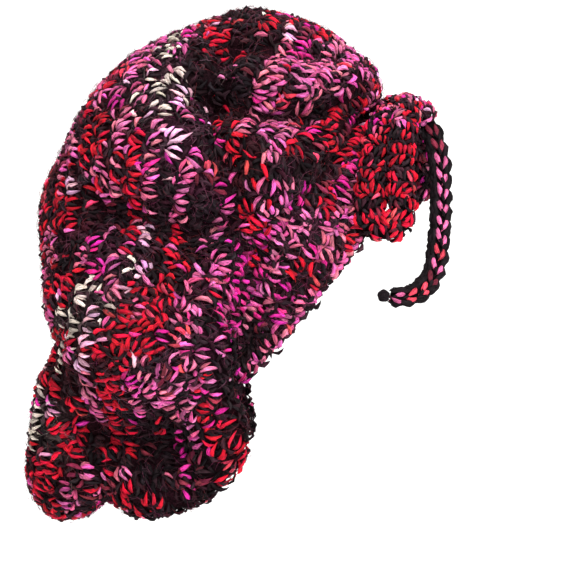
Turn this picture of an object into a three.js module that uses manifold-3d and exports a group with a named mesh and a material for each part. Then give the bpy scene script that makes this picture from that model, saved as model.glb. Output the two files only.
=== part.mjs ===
import * as THREE from 'three';
import { mergeVertices } from 'three/addons/utils/BufferGeometryUtils.js';
import Module from 'manifold-3d';

// Crochet bonnet: a slouchy hooded bag on a brim band, drawn in by a cord tied in a bow at the forehead.
// Millimetres. X runs forward to the face, Y to the wearer's left, Z up.
// The origin is the inside top of the crown, where the bonnet sits on a head.

// Driving dimensions
const wall = 5;
const seamGap = 0.5;
const cordWidth = 14;
const cordThickness = 10;
const loopStrandWidth = 16;
const loopStrandThickness = 11;
const endKnotRadius = 3.6;
const upperSquareness = 2.25;
const lowerSquareness = 2.7;

// How finely the faceted walls follow the shape
const pointsRightHalf = 38;
const pointsLeftHalf = 30;
const ringsInBand = 5;
const ringsInBag = 27;
const loopSteps = { right: 34, left: 30 };
const tieSteps = 36;

// Sections of the bonnet from the rim of the face opening to the back pole of the bag. Seen from
// the side each one runs from its top point over its widest side point to its bottom point, and
// lobe shifts its lower corners, which hang down and forward beside the nape.
const sectionColumns = [
  'name', 'topX', 'topZ', 'sideX', 'sideZ', 'bottomX', 'bottomZ', 'halfWidth', 'lobeX', 'lobeZ',
];
const sections = [
  ['rim',      84,   -76,    31,  -167,   -60,  -251,   76,   12,    4],
  ['mid_band',   71,   -66,    10,  -159,   -71,  -256,   81,   12,    3],
  ['seam',     56,   -58,   -11,  -152,   -82,  -260,   85,   14,    2],
  ['bag_1',    64,   -46,   -22,  -151,   -88,  -272,   92,   30,   -4],
  ['bag_2',    61,   -30,   -31,  -153,   -91,  -286,   96,   53,  -11],
  ['bag_3',    43,   -15,   -43,  -157,   -94,  -298,   98,   56,  -18],
  ['bag_4',    14,     1,   -56,  -160,   -98,  -307,   98,   44,  -20],
  ['bag_5',   -20,     8,   -70,  -161,  -104,  -310,   97,   27,  -20],
  ['bag_6',   -53,    -1,   -85,  -160,  -113,  -309,   95,   11,  -15],
  ['bag_7',   -87,   -16,  -101,  -157,  -127,  -316,   91,    2,   -6],
  ['bag_8',  -110,   -35,  -117,  -154,  -145,  -317,   84,    0,    0],
  ['bag_9',  -126,   -56,  -130,  -151,  -160,  -298,   74,    0,    0],
  ['bag_10', -138,   -80,  -140,  -149,  -158,  -266,   60,    0,    0],
  ['bag_11', -149,  -103,  -147,  -149,  -142,  -230,   44,    0,    0],
  ['bag_12', -153,  -124,  -150,  -150,  -142,  -195,   25,    0,    0],
  ['pole',   -151,  -150,  -151,  -150,  -151,  -150,    0,    0,    0],
].map((row) => Object.fromEntries(sectionColumns.map((column, i) => [column, row[i]])));
const seamAt = sections.findIndex((section) => section.name === 'seam');
const poleAt = sections.length - 1;

// Folds pressed into the right side (depth above 0) and rolls puffed out of it (depth below 0).
// Each follows a line of [x, z] points; left and right are the reach to either side of the way
// the line runs, wearerLeft is the share of the depth that the left side has, and the fold acts
// between the sections numbered first and last, fading out over one section beyond them.
const folds = [
  { name: 'gather',
    line: [[-32, -25], [-42, -52], [-39, -86], [-24, -117], [-14, -153], [-15, -196], [-25, -222]],
    left: 10, right: 12, depth: 11, level: 0, wearerLeft: 0.8, first: 1, last: 14 },
  { name: 'under_roll', line: [[-45, -52], [-15, -59], [16, -63], [41, -54]],
    left: 8, right: 12, depth: 14, level: 0, wearerLeft: 0.7, first: 1, last: 14 },
  { name: 'roll_crease', line: [[-40, -20], [-6, -22], [31, -27]],
    left: 8, right: 8, depth: 6, level: 0, wearerLeft: 0.7, first: 1, last: 14 },
  { name: 'upper_back', line: [[-110, -121], [-78, -131], [-54, -136], [-37, -134]],
    left: 11, right: 15, depth: 19, level: 0, wearerLeft: 0.6, first: 2, last: 14 },
  { name: 'recess', line: [[-118, -258], [-80, -264], [-66, -264]],
    left: 16, right: 22, depth: 26, level: 1, wearerLeft: 0.6, first: 6.5, last: 12 },
  { name: 'lower_cleft', line: [[-108, -312], [-108, -286]],
    left: 9, right: 9, depth: 8, level: 0, wearerLeft: 0.8, first: 6, last: 12 },
  { name: 'top_roll', line: [[-19, -4], [31, -12]],
    left: 11, right: 11, depth: -3, level: 0, wearerLeft: 1, first: 2, last: 14 },
  { name: 'second_roll', line: [[-38, -42], [6, -43], [44, -44]],
    left: 11, right: 11, depth: -7, level: 0, wearerLeft: 0.8, first: 2, last: 14 },
  { name: 'upper_bulge', line: [[-80, -88], [-60, -84]],
    left: 24, right: 22, depth: -8, level: 0, wearerLeft: 0.8, first: 2, last: 14 },
  { name: 'big_bulge', line: [[-108, -210], [-78, -216], [-44, -212]],
    left: 36, right: 22, depth: -16, level: 1, wearerLeft: 0.8, first: 4, last: 14 },
  { name: 'band_puff', line: [[-21, -81], [-2, -102]],
    left: 15, right: 15, depth: -5, level: 0, wearerLeft: 1, first: 0, last: 14 },
  { name: 'back_notch', line: [[-160, -207], [-138, -205]],
    left: 18, right: 18, depth: 11, level: 1, wearerLeft: 0.8, first: 8, last: 14 },
  { name: 'near_lobe', line: [[-26, -236], [-25, -268]],
    left: 12, right: 12, depth: -5, level: 1, wearerLeft: 1, first: 4, last: 8 },
];
const foldFadeWidth = 22;

const yarn = {
  blackRed: { color: 0x5a1524, roughness: 0.95, metalness: 0 },
  blackPink: { color: 0x4a1830, roughness: 0.95, metalness: 0 },
  red: { color: 0xa01c2c, roughness: 0.95, metalness: 0 },
  black: { color: 0x1a1316, roughness: 0.95, metalness: 0 },
};

// Sections and the smooth surface through them
function smoothBetween(before, from, to, after, share) {
  const square = share * share;
  const cube = square * share;
  const start = (to - before) / 2;
  const end = (after - from) / 2;
  return (2 * cube - 3 * square + 1) * from + (cube - 2 * square + share) * start
    + (3 * square - 2 * cube) * to + (cube - square) * end;
}

function sectionAt(place) {
  const at = Math.min(Math.floor(place), poleAt - 1);
  const share = place - at;
  const rows = [-1, 0, 1, 2].map((step) => sections[THREE.MathUtils.clamp(at + step, 0, poleAt)]);
  const mixed = {};
  for (const column of sectionColumns.slice(1)) {
    mixed[column] = smoothBetween(...rows.map((row) => row[column]), share);
  }
  return mixed;
}

function signedPower(value, power) {
  return Math.sign(value) * Math.abs(value) ** power;
}

// angle is 0 at the top, 180 degrees at the bottom, and runs down the wearer's right side
function basePoint(section, angle) {
  const lower = THREE.MathUtils.smoothstep(-Math.cos(angle), -0.3, 1);
  const squareness = THREE.MathUtils.lerp(upperSquareness, lowerSquareness, lower);
  const rise = signedPower(Math.cos(angle), 2 / squareness);
  const out = signedPower(Math.sin(angle), 2 / squareness);
  const bow = rise * rise;
  const corner = Math.cos(angle) < 0 ? Math.sin(2 * angle) ** 2 : 0;
  const x = section.sideX + rise * (section.topX - section.bottomX) / 2
    + bow * ((section.topX + section.bottomX) / 2 - section.sideX) + corner * section.lobeX;
  const z = section.sideZ + rise * (section.topZ - section.bottomZ) / 2
    + bow * ((section.topZ + section.bottomZ) / 2 - section.sideZ) + corner * section.lobeZ;
  return new THREE.Vector3(x, -section.halfWidth * out, z);
}

function baseNormal(place, angle) {
  const step = 0.02;
  const turn = 0.03;
  const back = Math.max(place - step, 0);
  const ahead = Math.min(place + step, poleAt - 0.05);
  const along = basePoint(sectionAt(ahead), angle).sub(basePoint(sectionAt(back), angle));
  const section = sectionAt(Math.min(place, poleAt - 0.05));
  const around = basePoint(section, angle + turn).sub(basePoint(section, angle - turn));
  return along.cross(around).normalize();
}

// How deep the folds press in at a point of the smooth surface
function foldReach(fold, x, z) {
  let nearest = Infinity;
  let lean = 0;
  for (let i = 0; i + 1 < fold.line.length; i += 1) {
    const [x0, z0] = fold.line[i];
    const [x1, z1] = fold.line[i + 1];
    const length = Math.hypot(x1 - x0, z1 - z0);
    const alongX = (x1 - x0) / length;
    const alongZ = (z1 - z0) / length;
    const run = THREE.MathUtils.clamp((x - x0) * alongX + (z - z0) * alongZ, 0, length);
    const offX = x - x0 - run * alongX;
    const offZ = z - z0 - run * alongZ;
    const distance = Math.hypot(offX, offZ);
    if (distance < nearest) {
      nearest = distance;
      lean = distance > 0 ? (alongX * offZ - alongZ * offX) / distance : 0;
    }
  }
  const reach = (fold.left + fold.right) / 2 + lean * (fold.left - fold.right) / 2;
  return Math.exp(-((nearest / reach) ** 2));
}

// Moves a point of the smooth surface to the folded one. level turns the push from square to the
// cloth to level with the ground.
function foldShift(place, point, normal) {
  const fade = THREE.MathUtils.smoothstep(Math.abs(point.y), 0, foldFadeWidth);
  const levelNormal = new THREE.Vector3(normal.x, normal.y, 0);
  const shift = new THREE.Vector3();
  for (const fold of folds) {
    const share = point.y > 0 ? fold.wearerLeft : 1;
    const started = THREE.MathUtils.smoothstep(place, fold.first - 1, fold.first);
    const ended = THREE.MathUtils.smoothstep(place, fold.last, fold.last + 1);
    const depth = fade * share * started * (1 - ended) * fold.depth * foldReach(fold, point.x, point.z);
    shift.addScaledVector(normal.clone().lerp(levelNormal, fold.level), -depth);
  }
  return shift;
}

function skinPoint(place, angle, inward) {
  const point = basePoint(sectionAt(place), angle);
  const normal = baseNormal(place, angle);
  return point.add(foldShift(place, point, normal)).addScaledVector(normal, -inward);
}

// Angles that space a section's points evenly along each half of it
function evenAngles(section, count, fromAngle, toAngle) {
  const samples = 240;
  const lengths = [0];
  let last = basePoint(section, fromAngle);
  for (let i = 1; i <= samples; i += 1) {
    const next = basePoint(section, fromAngle + (toAngle - fromAngle) * i / samples);
    lengths.push(lengths[i - 1] + next.distanceTo(last));
    last = next;
  }
  const angles = [];
  let at = 0;
  for (let i = 0; i < count; i += 1) {
    const wanted = lengths[samples] * i / count;
    while (lengths[at + 1] < wanted) {
      at += 1;
    }
    const share = (wanted - lengths[at]) / (lengths[at + 1] - lengths[at]);
    angles.push(fromAngle + (toAngle - fromAngle) * (at + share) / samples);
  }
  return angles;
}

function ringAngles(place) {
  const section = sectionAt(Math.min(place, poleAt - 0.05));
  return [
    ...evenAngles(section, pointsRightHalf, 0, Math.PI),
    ...evenAngles(section, pointsLeftHalf, Math.PI, 2 * Math.PI),
  ];
}

// Places of the rings between two sections, evenly spaced along the cloth on average
function evenPlaces(from, to, count) {
  const samples = 200;
  const readAngles = [0, 1, 2, 3, 4].map((quarter) => quarter * Math.PI / 4);
  const lengths = [0];
  for (let i = 1; i <= samples; i += 1) {
    const before = sectionAt(from + (to - from) * (i - 1) / samples);
    const after = sectionAt(from + (to - from) * i / samples);
    let sum = 0;
    for (const angle of readAngles) {
      sum += basePoint(before, angle).distanceTo(basePoint(after, angle));
    }
    lengths.push(lengths[i - 1] + sum);
  }
  const places = [];
  let at = 0;
  for (let i = 0; i <= count; i += 1) {
    const wanted = lengths[samples] * i / count;
    while (at < samples - 1 && lengths[at + 1] < wanted) {
      at += 1;
    }
    const share = (wanted - lengths[at]) / (lengths[at + 1] - lengths[at]);
    places.push(from + (to - from) * (at + share) / samples);
  }
  return places;
}

// A ring of points on the outer or inner skin. shift moves it along the cloth, towards the pole.
function skinRing(place, inward, shift) {
  return ringAngles(place).map((angle) => {
    const point = skinPoint(place, angle, inward);
    const ahead = basePoint(sectionAt(Math.min(place + 0.05, poleAt)), angle);
    const way = ahead.sub(basePoint(sectionAt(place), angle)).normalize();
    return point.addScaledVector(way, shift);
  });
}

function geometryFromRings(rings, closing) {
  const positions = [];
  const triangles = [];
  const count = rings[0].length;
  const flat = rings.flat();
  for (const point of flat) {
    positions.push(point.x, point.y, point.z);
  }
  const joined = closing === 'torus' ? rings.length : rings.length - 1;
  for (let r = 0; r < joined; r += 1) {
    const next = (r + 1) % rings.length;
    for (let i = 0; i < count; i += 1) {
      const j = (i + 1) % count;
      const a = r * count + i;
      const b = r * count + j;
      const c = next * count + i;
      const d = next * count + j;
      if (flat[a].distanceTo(flat[d]) < flat[b].distanceTo(flat[c])) {
        triangles.push(a, d, b, a, c, d);
      } else {
        triangles.push(a, c, b, b, c, d);
      }
    }
  }
  if (closing !== 'torus') {
    for (const [ring, offset, turned] of [[rings[0], 0, true], [rings.at(-1), joined * count, false]]) {
      const tip = positions.length / 3;
      const middle = closing[turned ? 0 : 1];
      positions.push(middle.x, middle.y, middle.z);
      for (let i = 0; i < ring.length; i += 1) {
        const j = (i + 1) % ring.length;
        triangles.push(...(turned ? [offset + i, offset + j, tip] : [offset + j, offset + i, tip]));
      }
    }
  }
  const geometry = new THREE.BufferGeometry();
  geometry.setAttribute('position', new THREE.Float32BufferAttribute(positions, 3));
  geometry.setIndex(triangles);
  return geometry;
}

function bandGeometry() {
  const places = evenPlaces(0, seamAt, ringsInBand);
  const outer = places.map((place) => skinRing(place, 0, 0));
  const inner = places.map((place) => skinRing(place, wall, 0)).reverse();
  return geometryFromRings([...outer, ...inner], 'torus');
}

function bagGeometry() {
  const places = evenPlaces(seamAt, poleAt, ringsInBag).slice(0, -1);
  const outer = places.map((place, i) => skinRing(place, 0, i === 0 ? seamGap : 0));
  const inner = places.map((place, i) => skinRing(place, wall, i === 0 ? seamGap : 0)).reverse();
  const pole = sections[poleAt];
  const poleOutside = new THREE.Vector3(pole.topX, 0, pole.topZ);
  const poleInside = new THREE.Vector3(pole.topX + wall, 0, pole.topZ);
  const rings = [...inner, ...outer];
  return geometryFromRings(rings, [poleInside, poleOutside]);
}

function mesh(name, geometry, look) {
  const body = new THREE.Mesh(geometry, new THREE.MeshStandardMaterial(look));
  body.name = name;
  return body;
}

// A strand swept along a route, with an oval section. Its two sizes are measured along the path's
// normal and binormal: for the loops the first lies flat against the band, and for the tie the
// second is the one seen from the side.
function strandGeometry(route, normalSize, binormalSize, steps) {
  const oval = new THREE.Shape();
  oval.absellipse(0, 0, normalSize / 2, binormalSize / 2, 0, 2 * Math.PI);
  const points = route.map((point) => new THREE.Vector3(...point));
  const path = new THREE.CatmullRomCurve3(points, false, 'centripetal');
  return new THREE.ExtrudeGeometry(oval, { steps, extrudePath: path, curveSegments: 5, bevelEnabled: false });
}

// Routes of the bow's two loops, down the rear strand and up the front one, and of the free tie
const rightLoopRoute = [
  [68.5, -15.5, -58.5], [68.5, -21, -58.5], [67.8, -31, -61.3], [64.8, -44.3, -67], [61.4, -58.3, -77.8],
  [58, -69.3, -92.8], [55.6, -76, -108], [55, -78.6, -124], [56.3, -79, -129.5], [59.9, -79, -133],
  [64.8, -79, -134.3], [69.7, -79, -133], [73.3, -79, -129.5], [74.6, -78.8, -124], [74.6, -78, -110],
  [73.8, -75, -96], [75, -69.5, -81.5], [78.5, -58, -67], [81, -42, -57.5], [82.2, -24, -52.8],
  [82, -15.5, -52.8],
];
const leftLoopRoute = [
  [68.5, 15.5, -58.5], [68.5, 20, -58.5], [72.5, 29.5, -63], [76.5, 41, -72], [79.2, 50.6, -82.5],
  [81, 57.8, -95], [83, 58.2, -101], [86, 57, -104.8], [90, 55, -106.3], [94, 52.5, -105],
  [97, 50, -101.8], [98, 48, -96.5], [97, 43.5, -84], [93, 36.5, -70], [86.5, 26.5, -56.5],
  [81.5, 20.5, -51.5], [81.5, 15.5, -51.5],
];
const tieRoute = [
  [95.6, -4.4, -64.2], [98.8, -6, -72], [101.5, -8, -79.5], [102.5, -10, -87], [103, -12.5, -96.5],
  [103, -16, -106], [103, -20, -116.5], [102.5, -24, -126], [101.5, -28, -135], [100, -32.5, -144],
  [99, -36.5, -151.5], [97, -41, -158.5], [94.5, -45.5, -165], [91, -50.5, -169.5], [86, -56, -173.5],
  [79.5, -61.5, -175.5], [73, -66, -176], [67, -70, -175.5],
];

// The barrel of the knot lies across the band, with the bead of the tie's exit in front of it
const barrelCentre = [75, 0, -55.9];
const barrelProfile = [[0, -15], [7.5, -15], [10.5, -11], [12, 0], [10.5, 11], [7.5, 15], [0, 15]];
const barrelFlattening = 0.8;
const beadCentre = [91, -3, -57.5];
const beadRadii = [8.5, 9, 7.5];
const endKnotCentre = [63.7, -71.9, -175.1];

// Joins closed geometries into one solid
function joinedGeometry(wasm, geometries) {
  let solid = null;
  for (const geometry of geometries) {
    geometry.deleteAttribute('normal');
    geometry.deleteAttribute('uv');
    const merged = mergeVertices(geometry, 1e-4);
    const lump = new wasm.Manifold(new wasm.Mesh({
      numProp: 3,
      vertProperties: new Float32Array(merged.attributes.position.array),
      triVerts: new Uint32Array(merged.index.array),
    }));
    solid = solid === null ? lump : solid.add(lump);
  }
  const joined = solid.getMesh();
  const geometry = new THREE.BufferGeometry();
  geometry.setAttribute('position', new THREE.Float32BufferAttribute(joined.vertProperties, 3));
  geometry.setIndex([...joined.triVerts]);
  return geometry;
}

function knotGeometry(wasm) {
  const profile = barrelProfile.map(([radius, along]) => new THREE.Vector2(radius, along));
  const barrel = new THREE.LatheGeometry(profile, 18);
  barrel.scale(1, 1, barrelFlattening);
  barrel.translate(...barrelCentre);
  const bead = new THREE.SphereGeometry(1, 14, 10);
  bead.scale(...beadRadii);
  bead.translate(...beadCentre);
  return joinedGeometry(wasm, [barrel, bead]);
}

const wasm = await Module();
wasm.setup();

const bonnet = new THREE.Group();
bonnet.add(mesh('brim_band', bandGeometry(), yarn.blackPink));
bonnet.add(mesh('bag', bagGeometry(), yarn.blackRed));
bonnet.add(mesh('bow_knot', knotGeometry(wasm), yarn.red));
for (const [name, route, steps] of [
  ['bow_loop_right', rightLoopRoute, loopSteps.right],
  ['bow_loop_left', leftLoopRoute, loopSteps.left],
]) {
  bonnet.add(mesh(name, strandGeometry(route, loopStrandWidth, loopStrandThickness, steps), yarn.red));
}
bonnet.add(mesh('tie_cord', strandGeometry(tieRoute, cordThickness, cordWidth, tieSteps), yarn.blackPink));
const endKnot = mesh('tie_end_knot', new THREE.SphereGeometry(endKnotRadius, 12, 8), yarn.black);
endKnot.position.set(...endKnotCentre);
bonnet.add(endKnot);

export default bonnet;
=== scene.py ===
import math

import bmesh
import bpy
import numpy as np
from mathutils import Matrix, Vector


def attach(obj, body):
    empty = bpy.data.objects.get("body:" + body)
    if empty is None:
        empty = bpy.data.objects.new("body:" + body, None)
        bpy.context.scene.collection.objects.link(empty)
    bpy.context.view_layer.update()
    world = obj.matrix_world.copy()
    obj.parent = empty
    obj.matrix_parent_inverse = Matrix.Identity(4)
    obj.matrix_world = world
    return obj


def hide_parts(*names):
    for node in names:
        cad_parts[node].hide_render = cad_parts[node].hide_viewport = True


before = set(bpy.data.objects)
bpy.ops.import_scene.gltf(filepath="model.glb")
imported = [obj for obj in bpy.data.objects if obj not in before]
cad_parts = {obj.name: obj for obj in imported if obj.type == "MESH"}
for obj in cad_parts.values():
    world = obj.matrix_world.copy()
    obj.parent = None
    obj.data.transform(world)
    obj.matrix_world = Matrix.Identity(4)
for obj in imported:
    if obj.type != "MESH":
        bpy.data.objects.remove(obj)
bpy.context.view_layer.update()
MM = 0.001


# The room. A pale floor sweeps up into a pale wall behind the bonnet, with a wide soft lamp
# above the camera, a weaker one from the front of the bonnet and one that lights the wall.
room_look = bpy.data.materials.new("pale_room")
room_look.use_nodes = True
room_shader = room_look.node_tree.nodes["Principled BSDF"]
room_shader.inputs["Base Color"].default_value = (0.93, 0.93, 0.93, 1)
room_shader.inputs["Roughness"].default_value = 0.9
room_shader.inputs["Specular IOR Level"].default_value = 0.1
SWEEP_WIDTH, FLOOR_DEPTH, FLOOR_LEVEL, FLOOR_BACK, SWEEP_RADIUS, WALL_HEIGHT = 9.0, 4.2, -0.42, 1.2, 0.8, 3.2


def made_object(name, mesh, look):
    """An object at the origin, smooth and in one material."""
    mesh.shade_smooth()
    mesh.materials.append(look)
    made = bpy.data.objects.new(name, mesh)
    bpy.context.scene.collection.objects.link(made)
    return made


def object_from_bmesh(name, bm, look):
    mesh = bpy.data.meshes.new(name)
    bm.to_mesh(mesh)
    bm.free()
    return made_object(name, mesh, look)


bm = bmesh.new()
bmesh.ops.create_grid(bm, x_segments=4, y_segments=40, size=0.5)
for vert in bm.verts:
    share = (vert.co.y + 0.5) * 3
    x = vert.co.x * SWEEP_WIDTH
    if share < 1:
        vert.co = (x, FLOOR_BACK - FLOOR_DEPTH * (1 - share), FLOOR_LEVEL)
    elif share < 2:
        turn = (share - 1) * math.pi / 2
        rise = SWEEP_RADIUS * (1 - math.cos(turn))
        vert.co = (x, FLOOR_BACK + SWEEP_RADIUS * math.sin(turn), FLOOR_LEVEL + rise)
    else:
        vert.co = (x, FLOOR_BACK + SWEEP_RADIUS, FLOOR_LEVEL + SWEEP_RADIUS + WALL_HEIGHT * (share - 2))
sweep = object_from_bmesh("backdrop_sweep", bm, room_look)

for name, place, size, power, colour in (
    ("key_lamp", (0.35, -1.5, 1.15), 1.1, 42, (1.0, 0.985, 0.965)),
    ("face_lamp", (1.5, -0.9, 0.1), 1.2, 9, (0.97, 0.985, 1.0)),
    ("wall_lamp", (0.0, 0.35, 2.1), 2.4, 60, (1.0, 1.0, 1.0)),
):
    lamp_data = bpy.data.lights.new(name, "AREA")
    lamp_data.shape = "DISK"
    lamp_data.size = size
    lamp_data.energy = power
    lamp_data.color = colour
    lamp = bpy.data.objects.new(name, lamp_data)
    lamp.location = place
    aim = Vector((0.0, 1.6, -0.3)) if name == "wall_lamp" else Vector((-0.03, 0.0, -0.16))
    lamp.rotation_euler = (aim - lamp.location).to_track_quat("-Z", "Y").to_euler()
    bpy.context.scene.collection.objects.link(lamp)
world = bpy.data.worlds.new("pale_world")
world.use_nodes = True
world.node_tree.nodes["Background"].inputs["Color"].default_value = (1, 1, 1, 1)
world.node_tree.nodes["Background"].inputs["Strength"].default_value = 0.3
bpy.context.scene.world = world
bpy.context.scene.view_settings.view_transform = "Standard"

camera_data = bpy.data.cameras.new("side_camera")
camera_data.sensor_width = 36
camera_data.lens = 114.6
camera_data.clip_start = 0.05
camera = bpy.data.objects.new("side_camera", camera_data)
camera.location = (0.0065, -1.2, -0.1716)
camera.rotation_euler = (math.radians(90), 0, 0)
bpy.context.scene.collection.objects.link(camera)
bpy.context.scene.camera = camera


# The yarn. Every stitch is worked with two strands held together: a fuzzy black one and a smooth
# one dyed in runs of red, coral, magenta, pink and cream, so it shows as pointed petals on black.
def dye(red, green, blue):
    return [(v / 255 / 12.92) if v < 11 else ((v / 255 + 0.055) / 1.055) ** 2.4 for v in (red, green, blue)]


# The dusky dye is partly the dyed strand dimmed under the black fuzz and partly painted shade for petals
# that lie in shade.
RED, CORAL, MAGENTA, PINK, LIGHT, CREAM, DUSKY_SHADE, BLACK = range(8)
DYES = np.array([
    dye(208, 20, 48), dye(222, 68, 88), dye(224, 46, 148), dye(224, 104, 156),
    dye(240, 174, 208), dye(236, 218, 206), dye(124, 40, 60), dye(22, 17, 20),
])


def unit(vectors):
    return vectors / np.maximum(np.linalg.norm(vectors, axis=-1, keepdims=True), 1e-9)


fibre_group = bpy.data.node_groups.new("spun_fibre", "ShaderNodeTree")
fibre_group.interface.new_socket("Coordinates", in_out="INPUT", socket_type="NodeSocketVector")
fibre_group.interface.new_socket("Streak", in_out="OUTPUT", socket_type="NodeSocketFloat")
group_in = fibre_group.nodes.new("NodeGroupInput")
group_out = fibre_group.nodes.new("NodeGroupOutput")
pull = fibre_group.nodes.new("ShaderNodeVectorMath")
pull.operation = "MULTIPLY"
pull.inputs[1].default_value = (0.3, 4.0, 4.0)
noise = fibre_group.nodes.new("ShaderNodeTexNoise")
noise.inputs["Scale"].default_value = 1.0
noise.inputs["Detail"].default_value = 3.0
fibre_group.links.new(group_in.outputs["Coordinates"], pull.inputs[0])
fibre_group.links.new(pull.outputs[0], noise.inputs["Vector"])
fibre_group.links.new(noise.outputs["Fac"], group_out.inputs["Streak"])


def spun_fibre(tree):
    """Streaks that run along each strand."""
    strand = tree.nodes.new("ShaderNodeAttribute")
    strand.attribute_name = "strand"
    fibre = tree.nodes.new("ShaderNodeGroup")
    fibre.node_tree = fibre_group
    tree.links.new(strand.outputs["Vector"], fibre.inputs["Coordinates"])
    return fibre.outputs["Streak"]


def yarn_look(name, specular, tones, bump_height, pattern=spun_fibre, roughness=0.85,
              spread=(0.34, 0.66), bump_strength=0.6):
    """The dye attribute made darker and lighter, and embossed, by a pattern. Its values between
    spread give the tones from the darkest to the lightest."""
    look = bpy.data.materials.new(name)
    look.use_nodes = True
    tree = look.node_tree
    shader = tree.nodes["Principled BSDF"]
    shader.inputs["Roughness"].default_value = roughness
    shader.inputs["Specular IOR Level"].default_value = specular
    height = pattern(tree)
    colour = tree.nodes.new("ShaderNodeAttribute")
    colour.attribute_name = "dye"
    tone = tree.nodes.new("ShaderNodeMapRange")
    for socket, value in zip(("From Min", "From Max", "To Min", "To Max"), (*spread, *tones)):
        tone.inputs[socket].default_value = value
    shade = tree.nodes.new("ShaderNodeVectorMath")
    shade.operation = "SCALE"
    bump = tree.nodes.new("ShaderNodeBump")
    bump.inputs["Strength"].default_value = bump_strength
    bump.inputs["Distance"].default_value = bump_height
    for output, socket in (
        (height, tone.inputs["Value"]), (colour.outputs["Color"], shade.inputs[0]),
        (tone.outputs["Result"], shade.inputs["Scale"]), (shade.outputs[0], shader.inputs["Base Color"]),
        (height, bump.inputs["Height"]), (bump.outputs["Normal"], shader.inputs["Normal"]),
    ):
        tree.links.new(output, socket)
    return look


bright_look = yarn_look("dyed_yarn", specular=0.15, tones=(0.25, 1.65), bump_height=0.0006)
black_look = yarn_look("fuzzy_black_yarn", specular=0.07, tones=(0.2, 2.4), bump_height=0.0008)


# A petal is the part of a strand that shows between two dives under its neighbours: fat in the
# middle and pointed at both ends. All the petals of a piece are made together from arrays.
def tube_quads(rings, sides, first):
    """The faces of a tube whose rings of points begin at the number first."""
    here = first + np.arange(sides)
    after = first + (np.arange(sides) + 1) % sides
    one = np.stack([here, sides + here, sides + after, after], axis=1)
    return np.concatenate([r * sides + one for r in range(rings - 1)])


# The root and tip tones are the painted shade at the two ends of a petal, where it dives under its
# neighbours.
ROUNDNESS, LUMPINESS, PLY_SHADE, ROOT_SHADE, TIP_SHADE = 0.9, 0.16, 0.28, 0.3, 0.6


def petal_arrays(start, bend, end, up, width, depth, dyes, sides, rings, seed):
    count = len(start)
    shares = (np.arange(rings) + 0.6) / (rings + 0.2)
    girths = np.sin(np.pi * shares) ** ROUNDNESS
    share = shares[None, :, None]
    centre = ((1 - share) ** 2 * start[:, None] + 2 * share * (1 - share) * bend[:, None]
              + share ** 2 * end[:, None])
    way = unit(end - start)
    side = unit(np.cross(way, up))
    lift = np.cross(side, way)
    turn = 2 * np.pi * np.arange(sides) / sides
    lumps = 1 + LUMPINESS * np.sin(
        seed[:, None, None] * 7 + np.arange(rings)[None, :, None] * 2.3 + np.arange(sides) * 1.9)
    girth = girths[None, :, None, None] / 2 * lumps[:, :, :, None]
    ring = (
        centre[:, :, None, :]
        + side[:, None, None, :] * np.cos(turn)[None, None, :, None] * girth * width[:, None, None, None]
        + lift[:, None, None, :] * np.sin(turn)[None, None, :, None] * girth * depth[:, None, None, None]
    )
    points = np.concatenate([start[:, None], ring.reshape(count, -1, 3), end[:, None]], axis=1)
    each = points.shape[1]
    k = np.arange(sides)
    after = (k + 1) % sides
    first = np.stack([np.zeros(sides, int), 1 + k, 1 + after], axis=1)
    base = 1 + (rings - 1) * sides
    last = np.stack([np.full(sides, each - 1), base + after, base + k], axis=1)
    offset = (np.arange(count) * each)[:, None, None]
    triangles = (np.concatenate([first, last])[None] + offset).reshape(-1, 3)
    quads = (tube_quads(rings, sides, 1)[None] + offset).reshape(-1, 4)
    around = np.concatenate([[0.0], np.tile(turn, rings), [0.0]])
    # Painted light: each petal is painted darker at its two ends, where it dives, and lighter along its fat
    # middle and towards its tip.
    painted_light_tones = (0.6 + 0.5 * girths) * (0.72 + 0.5 * shares)
    tone = np.concatenate([[ROOT_SHADE], np.repeat(painted_light_tones, sides), [TIP_SHADE]])
    ply = 1 + PLY_SHADE * np.cos(around[None] + seed[:, None] * 5.3)
    colour = dyes[:, None, :] * (tone[None] * ply)[:, :, None]
    length = np.linalg.norm(end - start, axis=1)
    along = np.concatenate([[0.0], np.repeat(shares, sides), [1.0]])
    radius = np.concatenate([[0.0], np.ones(rings * sides), [0.0]])
    strand = np.stack([
        along[None, :] * length[:, None] + seed[:, None] * 9.7,
        np.broadcast_to(np.cos(around) * radius, (count, each)) + seed[:, None] * 3.1,
        np.broadcast_to(np.sin(around) * radius, (count, each)),
    ], axis=2)
    return points.reshape(-1, 3), triangles, quads, colour.reshape(-1, 3), strand.reshape(-1, 3)


def woven_object(name, parts, look):
    """One mesh from the arrays of many petals or hairs."""
    points, triangles, quads, colour, strand = parts
    mesh = bpy.data.meshes.new(name)
    mesh.vertices.add(len(points))
    mesh.vertices.foreach_set("co", (points * MM).astype(np.float32).ravel())
    corners = np.concatenate([triangles.ravel(), quads.ravel()]).astype(np.int32)
    mesh.loops.add(len(corners))
    mesh.loops.foreach_set("vertex_index", corners)
    starts = np.concatenate([np.arange(len(triangles)) * 3, len(triangles) * 3 + np.arange(len(quads)) * 4])
    mesh.polygons.add(len(starts))
    mesh.polygons.foreach_set("loop_start", starts.astype(np.int32))
    mesh.update(calc_edges=True)
    rgba = np.concatenate([colour, np.ones((len(colour), 1))], axis=1)
    for layer, kind, socket, values in (
        ("dye", "FLOAT_COLOR", "color", rgba), ("strand", "FLOAT_VECTOR", "vector", strand),
    ):
        data = mesh.attributes.new(layer, kind, "POINT").data
        data.foreach_set(socket, values.astype(np.float32).ravel())
    return made_object(name, mesh, look)


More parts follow.
